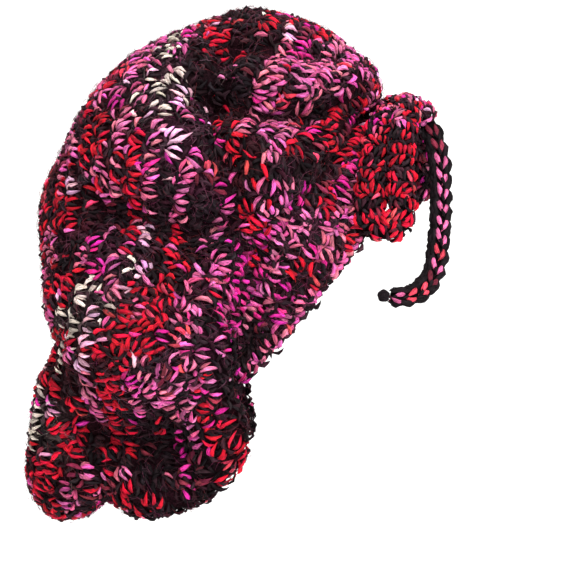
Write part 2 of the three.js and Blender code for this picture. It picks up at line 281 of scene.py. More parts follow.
# The tie. The bow's free end is a flat chain-stitched cord that hangs from the bead of the knot
# and curls back at its tip. Black runs down its back edge and round its scalloped front edge.
TIE_WIDTH, TIE_THICKNESS, TIE_STITCH = 15, 10, 11.0
TIE_ROUTE = np.array([
    [95.6, -4.4, -64.2], [98.8, -6, -72], [101.5, -8, -79.5], [102.5, -10, -87], [103, -12.5, -96.5],
    [103, -16, -106], [103, -20, -116.5], [102.5, -24, -126], [101.5, -28, -135], [100, -32.5, -144],
    [99, -36.5, -151.5], [97, -41, -158.5], [94.5, -45.5, -165], [91, -50.5, -169.5], [86, -56, -173.5],
    [79.5, -61.5, -175.5], [73, -66, -176], [67, -70, -175.5],
])


def run_along(line):
    """How far along a line each of its points is."""
    return np.concatenate([[0], np.cumsum(np.linalg.norm(np.diff(line, axis=0), axis=1))])


def smooth_route(route, gap):
    """Points a fixed gap apart along a smooth line through the route, and the line's length."""
    dense = []
    ends = np.concatenate([[2 * route[0] - route[1]], route, [2 * route[-1] - route[-2]]])
    for p0, p1, p2, p3 in zip(ends, ends[1:], ends[2:], ends[3:]):
        steps = [max(np.linalg.norm(b - a), 1e-6) ** 0.5 for a, b in ((p0, p1), (p1, p2), (p2, p3))]
        knots = np.cumsum([0.0] + steps)
        t = np.linspace(knots[1], knots[2], 24, endpoint=False)[:, None]

        def mix(a, b, i, j):
            return (knots[j] - t) / (knots[j] - knots[i]) * a + (t - knots[i]) / (knots[j] - knots[i]) * b

        a1, a2, a3 = mix(p0, p1, 0, 1), mix(p1, p2, 1, 2), mix(p2, p3, 2, 3)
        dense.append(mix(mix(a1, a2, 0, 2), mix(a2, a3, 1, 3), 1, 2))
    dense = np.concatenate([*dense, route[-1:]])
    reach = run_along(dense)
    wanted = np.linspace(0, reach[-1], int(round(reach[-1] / gap)) + 1)
    return np.stack([np.interp(wanted, reach, dense[:, i]) for i in range(3)], axis=1), reach[-1]


def shaped_grid(name, around, along, shape, look):
    """A grid rolled into a closed skin: shape gives the point for each share around and along."""
    bm = bmesh.new()
    bmesh.ops.create_grid(bm, x_segments=around, y_segments=along, size=0.5)
    flat = np.array([vert.co[:2] for vert in bm.verts]) + 0.5
    points, dark = shape(flat[:, 0], flat[:, 1])
    for vert, point in zip(bm.verts, points * MM):
        vert.co = point
    layer = bm.verts.layers.float_color.new("dye")
    for vert, colour in zip(bm.verts, dark):
        vert[layer] = (*colour, 1)
    bmesh.ops.remove_doubles(bm, verts=bm.verts, dist=2e-5)
    bmesh.ops.dissolve_degenerate(bm, dist=1e-6, edges=bm.edges)
    bmesh.ops.recalc_face_normals(bm, faces=bm.faces)
    return object_from_bmesh(name, bm, look)


def felt(tree):
    """Matted clumps in the object's own space."""
    place = tree.nodes.new("ShaderNodeTexCoord")
    noise = tree.nodes.new("ShaderNodeTexNoise")
    noise.inputs["Scale"].default_value = 420
    noise.inputs["Detail"].default_value = 4
    noise.inputs["Distortion"].default_value = 1.5
    tree.links.new(place.outputs["Object"], noise.inputs["Vector"])
    return noise.outputs["Fac"]


# The ground is the black yarn deep between the petals, felted by its own fuzz. Every piece has
# one as its core, a closed skin of this near-black.
ground_look = yarn_look(
    "felted_ground", specular=0.03, tones=(0.35, 1.7), bump_height=0.0012, pattern=felt, roughness=0.9,
    spread=(0.35, 0.68), bump_strength=0.8)
GROUND = np.array(dye(15, 9, 12))


def cord_frames(route, hint):
    """The side of a cord that shows to the hint, and the direction across it."""
    way = unit(np.gradient(route, axis=0))
    front = unit(hint - way * np.sum(way * hint, axis=1, keepdims=True))
    return front, np.cross(front, way)


def at_reach(line, share):
    """The values of a line's points at these shares of its length."""
    return np.stack([np.interp(share, np.linspace(0, 1, len(line)), line[:, i]) for i in range(3)], axis=1)


CAP_SHARE = 0.04


def cord_core(name, route, front, edge, width, thickness):
    """A closed dark core along the route, with rounded ends."""
    def shape(around, along):
        at = np.clip((along - CAP_SHARE) / (1 - 2 * CAP_SHARE), 0, 1)
        past = np.clip(np.abs(along - 0.5) - (0.5 - CAP_SHARE), 0, 1)
        girth = np.sqrt(np.clip(1 - past ** 2 / CAP_SHARE ** 2, 0, 1))[:, None] / 2
        centre, out, side = (at_reach(a, at) for a in (route, front, edge))
        turn = 2 * np.pi * around[:, None]
        points = centre + unit(side) * np.cos(turn) * girth * width
        points = points + unit(out) * np.sin(turn) * girth * thickness
        return points, np.broadcast_to(GROUND, points.shape)

    return shaped_grid(name, 16, len(route) + 8, shape, ground_look)


tie_line, tie_length = smooth_route(TIE_ROUTE, 1.5)
tie_front, tie_edge = cord_frames(tie_line, np.array([0.05, -1.0, 0.1]))
tie_core = cord_core(
    "tie_core", tie_line[:-2], tie_front[:-2], tie_edge[:-2], TIE_WIDTH - 4.5, TIE_THICKNESS - 4)
# Each strand of the tie's stitches, from its start to its end in the cord's own section: across
# to the scalloped edge and out to the front, its width, its dye, and in stitches its start and length.
TIE_STRANDS = [
    ("left_leg", -4.2, 2.8, 1.6, 4.9, 3.4, "bright", 0.0, 1.15),
    ("right_leg", 5.0, 2.4, 1.0, 4.8, 3.3, "bright", 0.3, 1.05),
    ("left_black", -5.0, 1.8, -1.4, 4.0, 3.5, "black", 0.45, 1.3),
    ("right_black", 5.6, 1.4, 2.2, 4.1, 3.5, "black", 0.6, 1.2),
    ("cross_black", -1.4, 4.2, 2.6, 4.4, 2.6, "black", 0.62, 0.8),
    ("scallop", 4.6, 0.8, 5.0, 0.4, 5.6, "black", 0.2, 1.3),
    ("scallop_under", 5.0, -0.4, 4.6, -0.6, 5.6, "black", 0.45, 1.3),
    ("inner_edge", -5.5, 0.8, -5.2, 0.4, 5.2, "black", 0.1, 1.3),
    ("inner_under", -5.2, -0.6, -5.5, -0.4, 5.2, "black", 0.6, 1.3),
    ("inner_front", -4.6, 2.4, -3.8, 2.6, 4.6, "black", 0.7, 1.6),
    ("back_inner", -4.0, -2.6, -2.8, -3.2, 4.8, "black", 0.3, 1.6),
    ("back_leg", -2.6, -3.4, 0.8, -4.2, 3.0, "back", 0.0, 1.2),
    ("back_leg_outer", 3.6, -2.8, 1.2, -4.2, 3.0, "back", 0.1, 1.2),
    ("back_outer", 4.0, -2.2, 4.4, -2.6, 4.8, "black", 0.6, 1.6),
]
# The dusky dye in this list is partly painted shade.
TIE_DYES = [
    DUSKY_SHADE, DUSKY_SHADE, PINK, PINK, PINK, PINK, PINK, PINK, CORAL, PINK, DUSKY_SHADE, CORAL, CORAL, PINK, MAGENTA, DUSKY_SHADE,
]
LEAD, TAPER_FROM, TAPER, LOOSE_TIE = 0.2, 0.82, 0.3, 0.45
PAST_TIP, SCALLOP_REACH, TIE_FLATNESS = 1.03, 1.6, 0.72
tie_rng = np.random.default_rng(3)
bright_rows, black_rows = [], []
tie_steps = int(round(tie_length / TIE_STITCH))
for step in range(tie_steps):
    for name, side0, out0, side1, out1, width, kind, shift, reach in TIE_STRANDS:
        begin, finish = (step + shift - LEAD) / tie_steps, (step + shift - LEAD + reach) / tie_steps
        if finish > PAST_TIP:
            continue
        taper = 1 - TAPER * max(0.0, (begin - TAPER_FROM) / (1 - TAPER_FROM))
        share = np.clip([begin, (begin + finish) / 2, finish], 0, 1)
        line, front, edge = (at_reach(a, share) for a in (tie_line, tie_front, tie_edge))
        sides = np.array([side0, (side0 + side1) / 2, side1])[:, None] * taper
        outs = np.array([out0, (out0 + out1) / 2, out1])[:, None] * taper
        outward = unit(edge * sides + front * outs)
        path = line + edge * sides + front * outs + tie_rng.normal(0, LOOSE_TIE, (3, 3))
        path += outward * np.array([-1.7, 2.0, -1.7])[:, None]
        if name == "scallop":
            path[1] += edge[1] * SCALLOP_REACH
        # Strands on the back of the tie take the dusky dye, which is partly painted shade.
        tint = DYES[BLACK]
        if kind != "black":
            tint = DYES[TIE_DYES[min(step, len(TIE_DYES) - 1)] if kind == "bright" else DUSKY_SHADE]
        tint = tint * tie_rng.uniform(0.75, 1.1)
        row = (*path, outward[1], width * taper, width * TIE_FLATNESS * taper, tint)
        (black_rows if kind == "black" else bright_rows).append(row)


def petals_from_rows(name, rows, sides, look):
    start, bend, end, up, width, depth, tint = (np.array([row[i] for row in rows], float) for i in range(7))
    seed = np.arange(len(rows)) * 1.37
    return woven_object(name, petal_arrays(start, bend, end, up, width, depth, tint, sides, 5, seed), look)


tie_bright = petals_from_rows("tie_bright_stitches", bright_rows, 8, bright_look)
tie_black = petals_from_rows("tie_black_stitches", black_rows, 8, black_look)
for piece in (tie_core, tie_bright, tie_black):
    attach(piece, "root")
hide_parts("tie_cord")

# The tip of the tie is its last black tail, pulled tight into a small overhand knot.
END_KNOT_CENTRE, END_KNOT_RADIUS = np.array([63.7, -71.9, -175.1]), 3.9
bm = bmesh.new()
bmesh.ops.create_icosphere(bm, subdivisions=3, radius=END_KNOT_RADIUS * MM)
for vert in bm.verts:
    way = vert.co.normalized()
    lump = 1 + 0.05 * math.sin(5 * math.atan2(way.z, way.x) + 4 * way.y) - 0.1 * abs(way.y)
    vert.co = Vector(END_KNOT_CENTRE * MM) + vert.co * lump
dye_layer = bm.verts.layers.float_color.new("dye")
strand_layer = bm.verts.layers.float_vector.new("strand")
for vert in bm.verts:
    vert[dye_layer] = (*DYES[BLACK], 1)
    vert[strand_layer] = vert.co * 900
end_knot = object_from_bmesh("end_knot_black", bm, black_look)
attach(end_knot, "root")
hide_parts("tie_end_knot")


# The bag and the brim band share one smooth form: sections from the rim of the face opening to
# the back pole, each through a top, a side and a bottom point, with the folds pressed in.
SECTIONS = np.array([
    # topX, topZ, sideX, sideZ, bottomX, bottomZ, half width, lobe X, lobe Z
    [84, -76, 31, -167, -60, -251, 76, 12, 4],
    [71, -66, 10, -159, -71, -256, 81, 12, 3],
    [56, -58, -11, -152, -82, -260, 85, 14, 2],
    [64, -46, -22, -151, -88, -272, 92, 30, -4],
    [61, -30, -31, -153, -91, -286, 96, 53, -11],
    [43, -15, -43, -157, -94, -298, 98, 56, -18],
    [14, 1, -56, -160, -98, -307, 98, 44, -20],
    [-20, 8, -70, -161, -104, -310, 97, 27, -20],
    [-53, -1, -85, -160, -113, -309, 95, 11, -15],
    [-87, -16, -101, -157, -127, -316, 91, 2, -6],
    [-110, -35, -117, -154, -145, -317, 84, 0, 0],
    [-126, -56, -130, -151, -160, -298, 74, 0, 0],
    [-138, -80, -140, -149, -158, -266, 60, 0, 0],
    [-149, -103, -147, -149, -142, -230, 44, 0, 0],
    [-153, -124, -150, -150, -142, -195, 25, 0, 0],
    [-151, -150, -151, -150, -151, -150, 0, 0, 0],
], float)
SEAM, POLE, WALL, FADE_WIDTH, TOP_SQUARE, BOTTOM_SQUARE = 2.0, 15, 5.0, 22.0, 2.25, 2.7
# line of the fold from x, z to x, z; its reach left and right, its depth, the share of it that is
# turned level, the wearer's left side's share of the depth, its first and last section
FOLDS = [
    ([[-32, -25], [-42, -52], [-39, -86], [-24, -117], [-14, -153], [-15, -196], [-25, -222]],
     10, 12, 11, 0, 0.8, 1, 14),
    ([[-45, -52], [-15, -59], [16, -63], [41, -54]], 8, 12, 14, 0, 0.7, 1, 14),
    ([[-40, -20], [-6, -22], [31, -27]], 8, 8, 6, 0, 0.7, 1, 14),
    ([[-110, -121], [-78, -131], [-54, -136], [-37, -134]], 11, 15, 19, 0, 0.6, 2, 14),
    ([[-118, -258], [-80, -264], [-66, -264]], 16, 22, 26, 1, 0.6, 6.5, 12),
    ([[-108, -312], [-108, -286]], 9, 9, 8, 0, 0.8, 6, 12),
    ([[-19, -4], [31, -12]], 11, 11, -3, 0, 1, 2, 14),
    ([[-38, -42], [6, -43], [44, -44]], 11, 11, -7, 0, 0.8, 2, 14),
    ([[-80, -88], [-60, -84]], 24, 22, -8, 0, 0.8, 2, 14),
    ([[-108, -210], [-78, -216], [-44, -212]], 36, 22, -16, 1, 0.8, 4, 14),
    ([[-21, -81], [-2, -102]], 15, 15, -5, 0, 1, 0, 14),
    ([[-160, -207], [-138, -205]], 18, 18, 11, 1, 0.8, 8, 14),
    ([[-26, -236], [-25, -268]], 12, 12, -5, 1, 1, 4, 8),
]


def ease(value, low, high):
    share = np.clip((value - low) / (high - low), 0, 1)
    return share * share * (3 - 2 * share)


def section_at(place):
    at = np.minimum(np.floor(place).astype(int), POLE - 1)
    share = (place - at)[:, None]
    before, start, end, after = (SECTIONS[np.clip(at + step, 0, POLE)] for step in (-1, 0, 1, 2))
    square, cube = share ** 2, share ** 3
    return ((2 * cube - 3 * square + 1) * start + (cube - 2 * square + share) * (end - before) / 2
            + (3 * square - 2 * cube) * end + (cube - square) * (after - start) / 2)


def smooth_point(place, angle):
    top_x, top_z, side_x, side_z, bottom_x, bottom_z, half_width, lobe_x, lobe_z = section_at(place).T
    square = TOP_SQUARE + (BOTTOM_SQUARE - TOP_SQUARE) * ease(-np.cos(angle), -0.3, 1)
    rise = np.sign(np.cos(angle)) * np.abs(np.cos(angle)) ** (2 / square)
    out = np.sign(np.sin(angle)) * np.abs(np.sin(angle)) ** (2 / square)
    bow = rise ** 2
    corner = np.where(np.cos(angle) < 0, np.sin(2 * angle) ** 2, 0)
    x = side_x + rise * (top_x - bottom_x) / 2 + bow * ((top_x + bottom_x) / 2 - side_x) + corner * lobe_x
    z = side_z + rise * (top_z - bottom_z) / 2 + bow * ((top_z + bottom_z) / 2 - side_z) + corner * lobe_z
    return np.stack([x, -half_width * out, z], axis=1)


def smooth_normal(place, angle):
    ahead, back = np.minimum(place + 0.02, POLE - 0.05), np.maximum(place - 0.02, 0)
    along = smooth_point(ahead, angle) - smooth_point(back, angle)
    held = np.minimum(place, POLE - 0.05)
    around = smooth_point(held, angle + 0.03) - smooth_point(held, angle - 0.03)
    return unit(np.cross(along, around))


def skin_point(place, angle, inward):
    """A point of the folded form, inward of its outer skin."""
    point, normal = smooth_point(place, angle), smooth_normal(place, angle)
    level_normal = normal * [1, 1, 0]
    fade = ease(np.abs(point[:, 1]), 0, FADE_WIDTH)
    shift = np.zeros_like(point)
    for line, left, right, depth, level, wearer_left, first, last in FOLDS:
        nearest = np.full(len(point), 1e9)
        lean = np.zeros(len(point))
        for (x0, z0), (x1, z1) in zip(line, line[1:]):
            length = math.hypot(x1 - x0, z1 - z0)
            along_x, along_z = (x1 - x0) / length, (z1 - z0) / length
            run = np.clip((point[:, 0] - x0) * along_x + (point[:, 2] - z0) * along_z, 0, length)
            off_x, off_z = point[:, 0] - x0 - run * along_x, point[:, 2] - z0 - run * along_z
            away = np.maximum(np.hypot(off_x, off_z), 1e-6)
            closer = away < nearest
            lean = np.where(closer, (along_x * off_z - along_z * off_x) / away, lean)
            nearest = np.where(closer, away, nearest)
        reach = (left + right) / 2 + lean * (left - right) / 2
        share = np.where(point[:, 1] > 0, wearer_left, 1.0)
        acts = ease(place, first - 1, first) * (1 - ease(place, last, last + 1))
        pressed = fade * share * acts * depth * np.exp(-((nearest / reach) ** 2))
        shift -= pressed[:, None] * (normal + (level_normal - normal) * level)
    return point + shift - inward[:, None] * normal


# The dyed yarn pools: where runs of one colour fall beside each other the cloth has a patch of it. The pools
# with a large black share lie along the folds and creases, and that black is painted shade. A pool has its
# place seen from the side, its radius and the shares of the eight dyes.
DYE_AND_SHADE_POOLS = np.array([
    # x, z, radius, red, coral, magenta, pink, light, cream, dusky, black
    [-137, -111, 18, 6, 2, 0, 0, 0, 0, 0, 2], [-134, -147, 20, 6, 0, 0, 1, 0, 0, 0, 3],
    [-134, -172, 14, 4, 0, 0, 3, 0, 0, 0, 3], [-118, -98, 13, 2, 3, 0, 4, 1, 0, 0, 1],
    [-118, -75, 12, 2, 0, 1, 2, 0, 0, 1, 4], [-100, -68, 17, 5, 1, 0, 1, 0, 0, 0, 3],
    [-100, -95, 17, 7, 1, 0, 0, 0, 0, 0, 2], [-97, -40, 15, 3, 0, 0, 2, 0, 0, 1, 4],
    [-79, -53, 13, 1, 0, 1, 2, 2, 2, 0, 2], [-67, -25, 12, 1, 0, 1, 3, 1, 2, 0, 3],
    [-45, -22, 10, 3, 1, 1, 0, 0, 0, 0, 6], [-79, -98, 13, 0, 0, 5, 3, 0, 0, 0, 2],
    [-61, -80, 16, 0, 0, 4, 3, 2, 0, 0, 1], [-51, -108, 14, 0, 0, 3, 3, 0, 0, 1, 3],
    [-33, -126, 9, 0, 0, 7, 1, 0, 0, 0, 2], [-60, -140, 20, 0, 0, 0, 0, 0, 0, 1, 44],
    [-97, -121, 12, 2, 0, 0, 0, 0, 0, 2, 6], [-40, -46, 18, 1, 0, 0, 0, 0, 0, 1, 36],
    [-9, -10, 18, 3, 1, 0, 1, 0, 0, 1, 9], [-3, -31, 12, 3, 1, 0, 3, 0, 0, 0, 3],
    [22, -34, 14, 0, 0, 2, 5, 1, 0, 0, 2], [43, -28, 10, 1, 1, 0, 2, 0, 0, 1, 6],
    [52, -43, 9, 4, 1, 0, 2, 0, 0, 0, 3], [-30, -72, 12, 6, 1, 0, 0, 0, 0, 0, 3],
    [-6, -72, 12, 2, 1, 0, 5, 0, 0, 0, 2], [14, -57, 14, 0, 0, 0, 0, 0, 0, 1, 36],
    [-18, -98, 12, 5, 2, 0, 0, 0, 0, 0, 3], [-3, -111, 13, 0, 0, 1, 4, 0, 0, 0, 4],
    [19, -95, 12, 2, 0, 0, 0, 0, 0, 0, 24], [31, -105, 12, 4, 0, 1, 0, 0, 0, 1, 4],
    [43, -105, 7, 0, 0, 6, 2, 0, 0, 0, 2], [37, -74, 12, 4, 0, 0, 0, 0, 0, 1, 5],
    [13, -132, 13, 0, 0, 1, 5, 1, 0, 0, 3], [31, -124, 10, 0, 0, 0, 3, 0, 0, 1, 6],
    [-12, -129, 9, 4, 2, 0, 0, 0, 0, 0, 3], [-39, -147, 12, 0, 0, 2, 1, 0, 0, 2, 5],
    [-27, -156, 12, 0, 0, 4, 2, 0, 0, 0, 3], [-9, -162, 13, 3, 0, 0, 2, 0, 0, 1, 5],
    [19, -162, 11, 3, 0, 2, 0, 0, 0, 1, 4], [9, -184, 8, 0, 0, 6, 2, 0, 0, 0, 2],
    [-106, -156, 15, 0, 0, 2, 5, 0, 0, 0, 2], [-88, -150, 12, 0, 0, 0, 5, 1, 0, 0, 3],
    [-61, -154, 16, 6, 1, 0, 0, 0, 0, 0, 3], [-112, -184, 13, 1, 0, 0, 2, 2, 8, 0, 1],
    [-128, -190, 9, 1, 0, 0, 0, 3, 8, 0, 2], [-73, -178, 15, 7, 1, 0, 0, 0, 0, 0, 2],
    [-103, -206, 21, 7, 2, 0, 0, 0, 0, 0, 1], [-48, -172, 13, 3, 0, 3, 1, 0, 0, 0, 3],
    [-45, -185, 12, 0, 0, 4, 3, 0, 0, 0, 3], [-64, -199, 13, 1, 2, 5, 1, 0, 0, 0, 1],
    [-42, -201, 12, 0, 0, 4, 4, 0, 0, 0, 3], [-79, -220, 14, 2, 0, 1, 4, 1, 0, 0, 2],
    [-57, -221, 11, 0, 0, 2, 4, 1, 0, 0, 3], [-128, -223, 12, 6, 1, 0, 0, 0, 0, 0, 3],
    [-109, -230, 11, 4, 0, 0, 2, 0, 0, 0, 4], [-20, -190, 11, 2, 0, 0, 0, 0, 0, 1, 30],
    [-22, -211, 11, 0, 0, 1, 0, 0, 0, 1, 32], [-143, -254, 13, 1, 0, 0, 1, 1, 8, 0, 3],
    [-124, -246, 9, 5, 0, 0, 1, 0, 0, 0, 4], [-143, -281, 15, 4, 1, 0, 0, 0, 0, 1, 5],
    [-109, -277, 20, 3, 1, 0, 0, 0, 0, 1, 6], [-73, -258, 21, 0, 0, 1, 0, 0, 0, 1, 40],
    [-39, -252, 10, 4, 1, 2, 0, 0, 0, 0, 3], [-27, -264, 10, 5, 1, 1, 0, 0, 0, 0, 4],
    [-67, -288, 13, 2, 0, 2, 0, 0, 0, 0, 12], [-39, -281, 10, 0, 0, 0, 0, 0, 0, 1, 27],
    [-103, -292, 12, 2, 0, 0, 1, 0, 0, 1, 6], [-32, -139, 11, 0, 0, 0, 0, 0, 0, 1, 30],
    [-84, -276, 12, 0, 0, 0, 1, 0, 0, 2, 9], [-42, -80, 9, 0, 0, 0, 0, 0, 0, 2, 22],
    [-30, -112, 9, 1, 0, 0, 0, 0, 0, 2, 20], [2, -150, 11, 0, 0, 0, 1, 0, 0, 2, 24],
    [-36, -227, 9, 0, 0, 0, 0, 0, 0, 1, 26], [-54, -241, 9, 0, 0, 0, 1, 0, 0, 1, 22],
    [-50, -274, 12, 0, 0, 0, 0, 0, 0, 2, 26], [-52, -298, 12, 1, 1, 1, 0, 0, 0, 1, 8],
], float)
DYE_WEIGHTS = np.array([0.8, 1.0, 1.05, 1.8, 2.0, 2.0, 0.8, 0.52])
BETWEEN_POOLS = np.array([2.0, 1.1, 1.3, 2.8, 0.5, 0.05, 1.4, 1.6])
POOL_REACH, BETWEEN_SHARE = 0.95, 0.12
LEFT_SIDE_FROM, LEFT_SIDE_ENDS = 12, -88
# The fourth-power term of the black share is painted shade that deepens the black of the darkest pools along
# the folds.
BLACK_LEAST, BLACK_RISE, SHADE_POOL_BLACK = 0.05, 0.6, 0.33


def dye_and_shade_shares(points):
    """How much of each dye falls near a point, with painted shade in the black share along the folds. The
    left side has its pools front to back.
    """
    near_x = np.where(points[:, 1] > LEFT_SIDE_FROM, LEFT_SIDE_ENDS - points[:, 0], points[:, 0])
    gap = (near_x[:, None] - DYE_AND_SHADE_POOLS[None, :, 0]) ** 2 + (points[:, 2:3] - DYE_AND_SHADE_POOLS[None, :, 1]) ** 2
    pull = np.exp(-gap / (DYE_AND_SHADE_POOLS[None, :, 2] * POOL_REACH) ** 2)
    shares = pull @ (DYE_AND_SHADE_POOLS[:, 3:] / DYE_AND_SHADE_POOLS[:, 3:].sum(axis=1, keepdims=True))
    shares *= DYE_WEIGHTS
    shares += BETWEEN_SHARE * BETWEEN_POOLS / BETWEEN_POOLS.sum()
    shares /= shares.sum(axis=1, keepdims=True)
    black = BLACK_LEAST + BLACK_RISE * shares[:, 7:] + SHADE_POOL_BLACK * shares[:, 7:] ** 4
    return np.concatenate([shares[:, :7] * (1 - black) / (1 - shares[:, 7:]), black], axis=1)


def nearby_dye(points):
    return dye_and_shade_shares(points)[:, :7] @ DYES[:7]


# The stitches lie in rows that follow the rim of the face opening. Short rows are worked in
# where the cloth is longer, so the stitches keep one size over the whole bag.
def stitch_places(first, last, row_gap, pitch, inward, least):
    angles = np.linspace(0, 2 * np.pi, 24, endpoint=False)
    samples = np.linspace(first, last, 260)
    lines = np.stack([skin_point(samples, np.full(260, a), np.full(260, inward)) for a in angles])
    longest = np.linalg.norm(np.diff(lines, axis=1), axis=2).max(axis=0)
    reach = np.concatenate([[0], np.cumsum(longest)])
    rows = np.interp(np.arange(row_gap * 0.5, reach[-1], row_gap), reach, samples)
    places, turns, numbers = [], [], []
    ring_angles = np.linspace(0, 2 * np.pi, 721)
    for number, row in enumerate(rows):
        ring = skin_point(np.full(721, row), ring_angles, np.full(721, inward))
        run = run_along(ring)
        count = max(3, int(round(run[-1] / pitch)))
        wanted = (np.arange(count) + (number % 2) * 0.5 + 0.25) * run[-1] / count
        turns.append(np.interp(wanted % run[-1], run, ring_angles))
        places.append(np.full(count, row))
        numbers.append(np.full(count, number))
    place, angle, number = (np.concatenate(a) for a in (places, turns, numbers))
    points = skin_point(place, angle, np.full(len(place), inward))
    kept, taken = [], {}
    for index, point in enumerate(points):
        cell = tuple(np.floor(point / least).astype(int))
        close = (taken.get((cell[0] + i, cell[1] + j, cell[2] + k), ())
                 for i in (-1, 0, 1) for j in (-1, 0, 1) for k in (-1, 0, 1))
        if all(np.sum((points[other] - point) ** 2) > least ** 2 for group in close for other in group):
            kept.append(index)
            taken.setdefault(cell, []).append(index)
    return place[kept], angle[kept], number[kept]


def stitch_frames(place, angle, inward):
    depth = np.full(len(place), inward)
    centre = skin_point(place, angle, depth)
    ahead = skin_point(np.minimum(place + 0.04, POLE - 0.02), angle, depth)
    back = skin_point(np.maximum(place - 0.04, 0), angle, depth)
    along = ahead - back
    around = skin_point(place, angle + 0.02, depth) - skin_point(place, angle - 0.02, depth)
    out = unit(np.cross(along, around))
    across = unit(around)
    return centre, across, np.cross(across, out), out


RUN_ON, POOL_RUN_ON = 0.25, 1.6


def dyes_along_rows(shares, number, rng):
    """The dye of each stitch: it runs on from the stitch before while its pool lasts."""
    chosen = np.zeros(len(shares), int)
    current, last_row = 0, -1
    for i, share in enumerate(shares):
        if number[i] != last_row or rng.random() > RUN_ON + POOL_RUN_ON * share[current]:
            current = rng.choice(8, p=share)
            last_row = number[i]
        chosen[i] = current
    return chosen


# Stitches seen from their front are claws of four legs that fan out upward from one root, and from
# their back the same claws open downward. Each strand has its start, middle and end as across,
# along and out, its width, and the share of the stitches in which it shows dyed and not black.
FRONT_STITCH = [
    ("outer_left", (-0.8, -5.6, -0.4), (-6.6, -3.8, 5.0), (-7.0, 3.2, -0.4), 2.8, 0.8),
    ("inner_left", (-0.4, -5.2, -0.4), (-4.2, 0.2, 5.8), (-1.8, 7.0, -0.4), 3.0, 0.92),
    ("inner_right", (0.5, -5.2, -0.4), (3.4, -0.2, 5.8), (2.4, 7.2, -0.4), 3.0, 0.92),
    ("outer_right", (0.9, -5.6, -0.4), (6.8, -4.0, 5.0), (7.0, 3.0, -0.4), 2.8, 0.78),
    ("root", (-4.6, -6.4, -1.0), (0.0, -8.2, 5.2), (4.6, -6.0, -1.0), 2.9, 0.25),
    ("left_black", (-5.0, -5.8, -1.0), (-8.2, 0.0, 4.6), (-4.6, 6.2, -1.0), 3.0, 0),
    ("right_black", (1.4, 5.8, -1.0), (5.4, 4.4, 5.2), (8.2, -2.0, -1.0), 3.0, 0),
    ("over_black", (-3.4, -1.0, -1.0), (0.6, -3.6, 7.2), (4.0, -0.6, -1.0), 2.5, 0),
]
BACK_STITCH = [
    ("outer_left", (-0.8, 5.6, -0.4), (-6.8, 4.4, 5.0), (-6.6, -2.8, -0.4), 2.8, 0.8),
    ("inner_left", (-0.3, 5.2, -0.4), (-4.0, 0.6, 5.8), (-1.6, -7.0, -0.4), 3.0, 0.92),
    ("inner_right", (0.5, 5.2, -0.4), (4.2, 0.8, 5.8), (2.2, -6.8, -0.4), 3.0, 0.9),
    ("outer_right", (1.0, 5.6, -0.4), (7.0, 3.6, 5.0), (6.4, -3.2, -0.4), 2.8, 0.7),
    ("top_black", (-4.8, 5.0, -1.0), (0.0, 8.6, 5.2), (5.0, 5.4, -1.0), 3.0, 0.1),
    ("left_black", (-7.6, -1.0, -1.0), (-4.8, -6.8, 5.0), (0.2, -7.6, -1.0), 3.0, 0),
    ("over_black", (-2.8, 3.6, -1.0), (0.8, 0.2, 7.0), (2.0, -4.4, -1.0), 2.4, 0),
]
LINING_STITCH = [
    ("leg", (-1.6, -4.6, -1.0), (-3.2, 0.4, 3.6), (-1.2, 4.8, -1.0), 3.4, 0.9),
    ("arc", (-3.6, -2.2, -1.0), (2.8, -1.2, 3.6), (3.4, 3.6, -1.0), 3.4, 0.9),
    ("under", (3.0, -4.4, -1.4), (3.6, 1.0, 2.4), (-3.8, 3.8, -1.4), 4.2, 0),
]


def joined(gathered):
    return [np.concatenate([group[i] for group in gathered]) for i in range(6)]


LEAN_SPREAD, PLACE_SPREAD, OWN_DYE = 0.42, 0.7, 0.2
PETAL_SIZES, PETAL_GIRTHS, PETAL_DEPTH, DROOP = (0.85, 1.15), (0.75, 1.2), 0.7, 0.012


def crochet_petals(place, angle, number, inward, scale, rng, face=1.0, stitches=(FRONT_STITCH, BACK_STITCH)):
    """All the strands of the stitches at these places, as start, bend, end, out, width and dye."""
    centre, across, along, out = stitch_frames(place, angle, inward)
    out = out * face
    shares = dye_and_shade_shares(centre)
    chosen = dyes_along_rows(shares, number, rng)
    lean = 0.55 * np.sin(centre[:, 0] / 17 + centre[:, 2] / 23)
    lean = lean + 0.35 * np.sin(centre[:, 2] / 11 - centre[:, 1] / 19)
    lean = lean + rng.normal(0, LEAN_SPREAD, len(centre))
    cos, sin = np.cos(lean)[:, None], np.sin(lean)[:, None]
    across, along = across * cos + along * sin, along * cos - across * sin
    for direction in (across, along):
        centre = centre + direction * rng.normal(0, PLACE_SPREAD, len(centre))[:, None]
    gathered = []
    for parity, stitch in enumerate(stitches):
        mine = np.flatnonzero(number % 2 == parity)
        for _, start, bend, end, width, dyed_share in stitch:
            size = scale * rng.uniform(*PETAL_SIZES, len(mine))[:, None]
            ends = []
            for point, loose in ((start, 0.6), (bend, 1.1), (end, 0.9)):
                scatter = rng.normal(0, loose, (3, len(mine), 1)) * [[[1]], [[1]], [[0.6]]]
                a, c, h = np.array(point)[:, None, None] + scatter
                sink = (a ** 2 + c ** 2) * DROOP
                ends.append(centre[mine] + across[mine] * a * size + along[mine] * c * size
                            + out[mine] * (h - sink) * scale)
            own = np.array([rng.choice(8, p=p) for p in shares[mine]])
            dyed = np.where(rng.random(len(mine)) < OWN_DYE, own, chosen[mine])
            dyed = np.where(rng.random(len(mine)) < dyed_share, dyed, BLACK)
            girth = width * scale * rng.uniform(*PETAL_GIRTHS, len(mine))
            gathered.append((*ends, out[mine], girth, dyed))
    return joined(gathered)


# The tones of a strand, how far its red, green and blue stray, and how far each dye does so. The
# black yarn takes on a haze of the dye beside it.
BRIGHT_TONES, BLACK_TONES, BLACK_HAZE = (0.55, 1.22), (0.3, 2.0), 0.048
HUE_REACH = (0.08, 0.4, 0.3)
HUE_SPREAD = np.array([1.0, 1.0, 1.0, 1.0, 0.6, 0.15, 0.8, 0.25])


def everywhere(points):
    return np.ones(len(points), bool)


